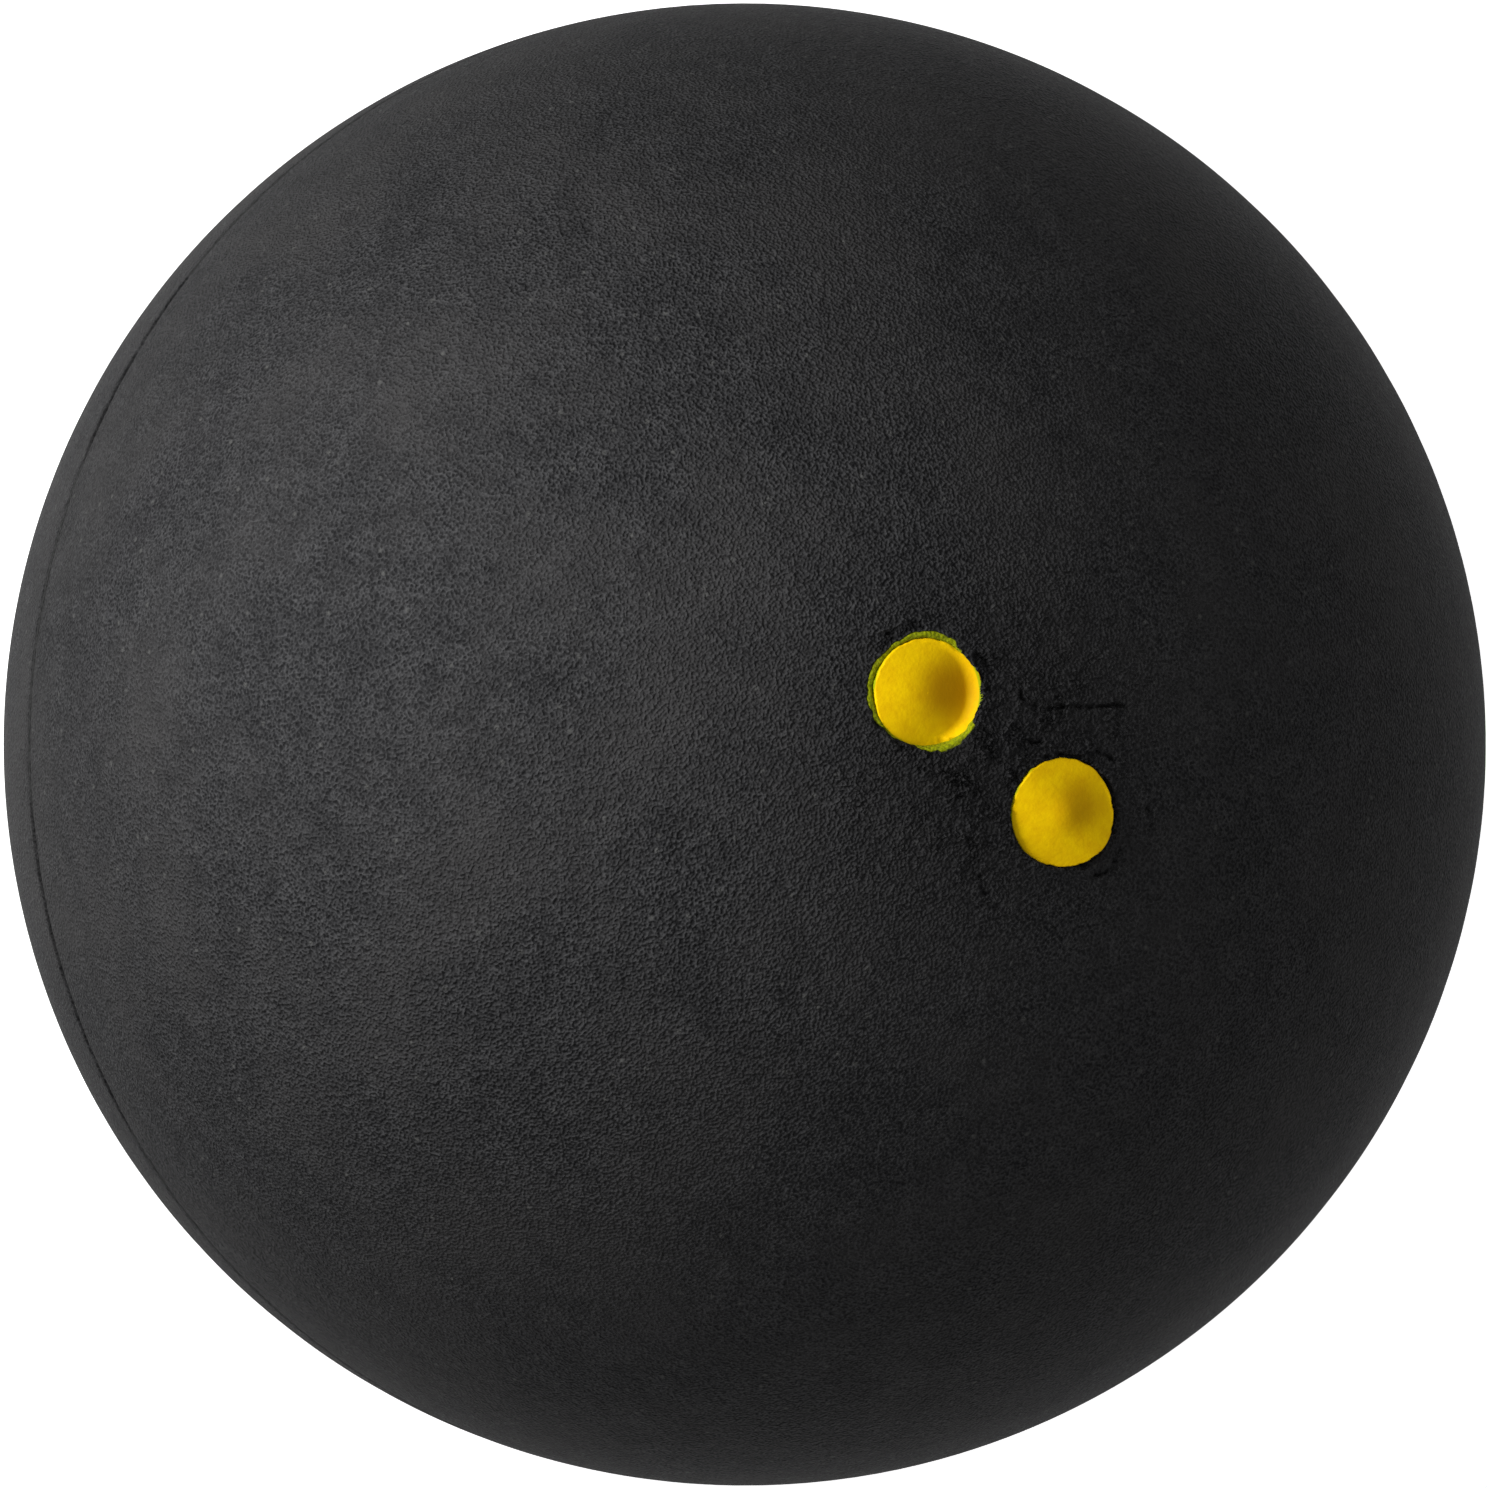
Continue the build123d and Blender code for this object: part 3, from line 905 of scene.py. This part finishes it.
def painted_dot(name, side, sunk, lean, bow, nib, edge, dark_patch, bare_walls):
    """A skin of paint over a recess. Its top is sunk below the ball's skin at its middle, leans and bows by
    so much along and across the pair of dots, has a low nib, and meets in a valley the wall that rises to
    its edge, which is a radius and a shift along the pair. It is darker on a patch, which is an angle from
    the photograph's right, a reach, a radius and a share: partly a browner worn coat and partly painted shade
    on the dome's shaded flank. Past its edge it is painted darker as shade on the side away from the light,
    and as thin paint on the lit side. The recess's wall stays bare at each of bare_walls, which are such an
    angle, a half width in degrees and a depth."""
    foot_radius = MOUTH_RADIUS - RECESS_WALL_WIDTH
    reach_end = MOUTH_RADIUS + PAINT_OVERLAP
    mesh = bmesh.new()
    thin = mesh.verts.layers.float.new("thin")
    worn_and_shade = mesh.verts.layers.float.new("worn_and_shade")
    dark_patch_angle, dark_patch_reach, dark_patch_radius, dark_patch_share = dark_patch
    dark_patch_turn = math.radians(PHOTO_TURN + dark_patch_angle)
    dark_patch_middle = about_dot(side, dark_patch_reach, dark_patch_turn)

    def bare_at(turn):
        bare = 0.0
        for bare_angle, half_width, bare_depth in bare_walls:
            off = math.degrees(turn) - PHOTO_TURN - bare_angle
            off = abs((off + 180) % 360 - 180)
            bare += bare_depth * eased(1.5 - off / half_width)
        round_way = Vector((math.cos(turn), math.sin(turn), 1.3 * side))
        wobble = noise.noise(round_way * 4) + 0.6 * noise.noise(round_way * 11)
        return bare * (1 + BARE_WOBBLE * wobble)

    def edge_at(turn):
        return edge[0] + edge[1] * math.cos(turn)

    def frayed(turn):
        round_way = Vector((math.cos(turn), math.sin(turn), 2.1 * side))
        return sum(size * noise.noise(round_way * pitch) for size, pitch in FRAY)

    def depths(reach, turn):
        along = reach * math.cos(turn)
        across = reach * math.sin(turn)
        top = sunk + lean[0] * along + lean[1] * across
        top += bow[0] * bowed(along) + bow[1] * bowed(across)
        top -= nib * math.exp(-(reach / NIB_RADIUS) ** 2)
        bed = RECESS_DEPTH * (1 - eased((reach - foot_radius) / RECESS_WALL_WIDTH))
        wall = max(PAINT_WALL_SLOPE * (edge_at(turn) - reach), bare_at(turn))
        blend = max(VALLEY_FILLET - abs(top - wall), 0.0) / VALLEY_FILLET
        top = min(top, wall) - blend * blend * VALLEY_FILLET / 4
        return top + EDGE_DIVE * max(0.0, reach - edge_at(turn) - frayed(turn)), bed

    def layer(sink):
        middle = mesh.verts.new(about_dot(side, 0.0, 0.0, depths(0.0, 0.0)[0] + sink))
        rows = []
        for ring in range(1, DOT_RINGS + 1):
            reach = reach_end * ring / DOT_RINGS
            fade = 1 - (ring / DOT_RINGS) ** 8
            row = []
            for segment in range(DOT_SEGMENTS):
                turn = 2 * math.pi * segment / DOT_SEGMENTS
                top, bed = depths(reach, turn)
                point = mesh.verts.new(about_dot(side, reach, turn, top + sink * fade))
                dark_patch_off = (about_dot(side, reach, turn) - dark_patch_middle).length / dark_patch_radius
                # Past the edge the side away from the light is painted darker brown as shade, and the lit
                # side shows thin paint.
                edge_off = (reach - edge_at(turn)) / EDGE_FADE
                past_edge = eased(edge_off + 0.5)
                lit = max(0.0, -math.cos(turn - math.radians(PHOTO_TURN)))
                point[worn_and_shade] = max(dark_patch_share * eased(1.2 - dark_patch_off), (1 - lit) * past_edge)
                point[thin] = 1 - eased((bed - top) / PAINT_THIN) if edge_off < 0 else lit * past_edge
                row.append(point)
            rows.append(row)
        for segment in range(DOT_SEGMENTS):
            beside = (segment + 1) % DOT_SEGMENTS
            mesh.faces.new((middle, rows[0][segment], rows[0][beside]))
            for inner, outer in zip(rows, rows[1:]):
                mesh.faces.new((inner[segment], outer[segment], outer[beside], inner[beside]))

    layer(0.0)
    layer(PAINT_BACK)
    bmesh.ops.remove_doubles(mesh, verts=mesh.verts, dist=MERGE_DISTANCE)
    bmesh.ops.recalc_face_normals(mesh, faces=mesh.faces)
    for face in mesh.faces:
        face.smooth = True
    data = bpy.data.meshes.new(name)
    mesh.to_mesh(data)
    mesh.free()
    data.materials.append(paint)
    dot = bpy.data.objects.new(name, data)
    bpy.context.scene.collection.objects.link(dot)
    return dot


first_dot = painted_dot(
    "paint_first_dot", -1, sunk=0.03 * MM, lean=(0.22, 0.06), bow=(0.13, 0.13), nib=0.0,
    edge=(1.42 * MM, 0.045 * MM), dark_patch=(8, 0.6 * MM, 1.05 * MM, 1.0),
    bare_walls=[(70, 34, 0.13 * MM), (206, 88, 0.6 * MM)],
)
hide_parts("first_yellow_dot")
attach(first_dot, "root")
second_dot = painted_dot(
    "paint_second_dot", 1, sunk=-0.235 * MM, lean=(-0.05, 0.02), bow=(0.07, 0.3), nib=0.06 * MM,
    edge=(1.39 * MM, -0.02 * MM), dark_patch=(35, 0.4 * MM, 0.8 * MM, 0.72),
    bare_walls=[(170, 110, 0.9 * MM)],
)
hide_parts("second_yellow_dot")
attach(second_dot, "root")
for lines_used in (open_seam, cement_profile, crack_lines, film_lines):
    bpy.data.objects.remove(lines_used)


# Camera: the photograph looks down on the dotted half from a little to one side, through a long lens.
CAMERA_DISTANCE = 300 * MM
LENS = 268.4
SENSOR_WIDTH = 36
camera_back = Vector((-0.2531, -0.1968, 0.9472)).normalized()
camera_right = Vector((0.7265, 0.6084, 0.3203)).normalized()
camera_up = camera_back.cross(camera_right).normalized()
camera_data = bpy.data.cameras.new("camera")
camera_data.lens = LENS
camera_data.sensor_width = SENSOR_WIDTH
camera = bpy.data.objects.new("camera", camera_data)
bpy.context.scene.collection.objects.link(camera)
turned = Matrix((camera_right, camera_up, camera_back)).transposed().to_4x4()
camera.matrix_world = Matrix.Translation(camera_back * CAMERA_DISTANCE) @ turned
bpy.context.scene.camera = camera


# Floor and light: a white sweep, one soft box close by on the photograph's left, and an even room light.
FLOOR_SIZE = 6.0
FLOOR_GLOW = 0.86
ROOM_LIGHT = 0.375
KEY_FROM = (-0.61, 0.24, 0.755)
KEY_DISTANCE = 60 * MM
KEY_SIZE = 28 * MM
KEY_POWER = 0.0408


def shows(tree):
    """1 for a ray that shows a backdrop, to the camera or in a reflection, and 0 for one that lights."""
    ray = add(tree, "ShaderNodeLightPath").outputs
    seen = add(tree, MATH, {0: ray["Is Camera Ray"], 1: ray["Is Glossy Ray"]}, operation="MAXIMUM")
    return add(tree, MATH, {0: seen, 1: ray["Is Transmission Ray"]}, operation="MAXIMUM")


floor_mesh = bpy.data.meshes.new("floor")
half = FLOOR_SIZE / 2
floor_mesh.from_pydata(
    [(x * half, y * half, cad_box[0].z) for x, y in ((-1, -1), (1, -1), (1, 1), (-1, 1))],
    [], [(0, 1, 2, 3)],
)
floor = bpy.data.objects.new("floor", floor_mesh)
bpy.context.scene.collection.objects.link(floor)
white = bpy.data.materials.new("white_sweep")
white.use_nodes = True
white_tree = white.node_tree
white_shader = white_tree.nodes["Principled BSDF"]
white_shader.inputs["Base Color"].default_value = (0.8, 0.8, 0.8, 1.0)
white_shader.inputs["Roughness"].default_value = 1.0
white_shader.inputs["Specular IOR Level"].default_value = 0.0
white_shader.inputs["Emission Color"].default_value = (1.0, 1.0, 1.0, 1.0)
glow = add(white_tree, MATH, {0: shows(white_tree), 1: FLOOR_GLOW}, operation="MULTIPLY")
white_tree.links.new(glow.outputs[0], white_shader.inputs["Emission Strength"])
floor_mesh.materials.append(white)

world = bpy.data.worlds.new("room")
world.use_nodes = True
bpy.context.scene.world = world
room = world.node_tree.nodes["Background"]
room.inputs["Color"].default_value = (1.0, 1.0, 1.0, 1.0)
shown = add(
    world.node_tree, "ShaderNodeMapRange",
    {"Value": shows(world.node_tree), "To Min": ROOM_LIGHT, "To Max": 1.0},
)
world.node_tree.links.new(shown.outputs[0], room.inputs["Strength"])

key_data = bpy.data.lights.new("soft_box", "AREA")
key_data.shape = "SQUARE"
key_data.size = KEY_SIZE
key_data.energy = KEY_POWER
key = bpy.data.objects.new("soft_box", key_data)
bpy.context.scene.collection.objects.link(key)
key_way = (camera_right * KEY_FROM[0] + camera_up * KEY_FROM[1] + camera_back * KEY_FROM[2]).normalized()
key.location = key_way * KEY_DISTANCE
key.rotation_mode = "QUATERNION"
key.rotation_quaternion = key_way.to_track_quat("Z", "Y")
key.visible_camera = False

bpy.context.scene.view_settings.view_transform = "Standard"
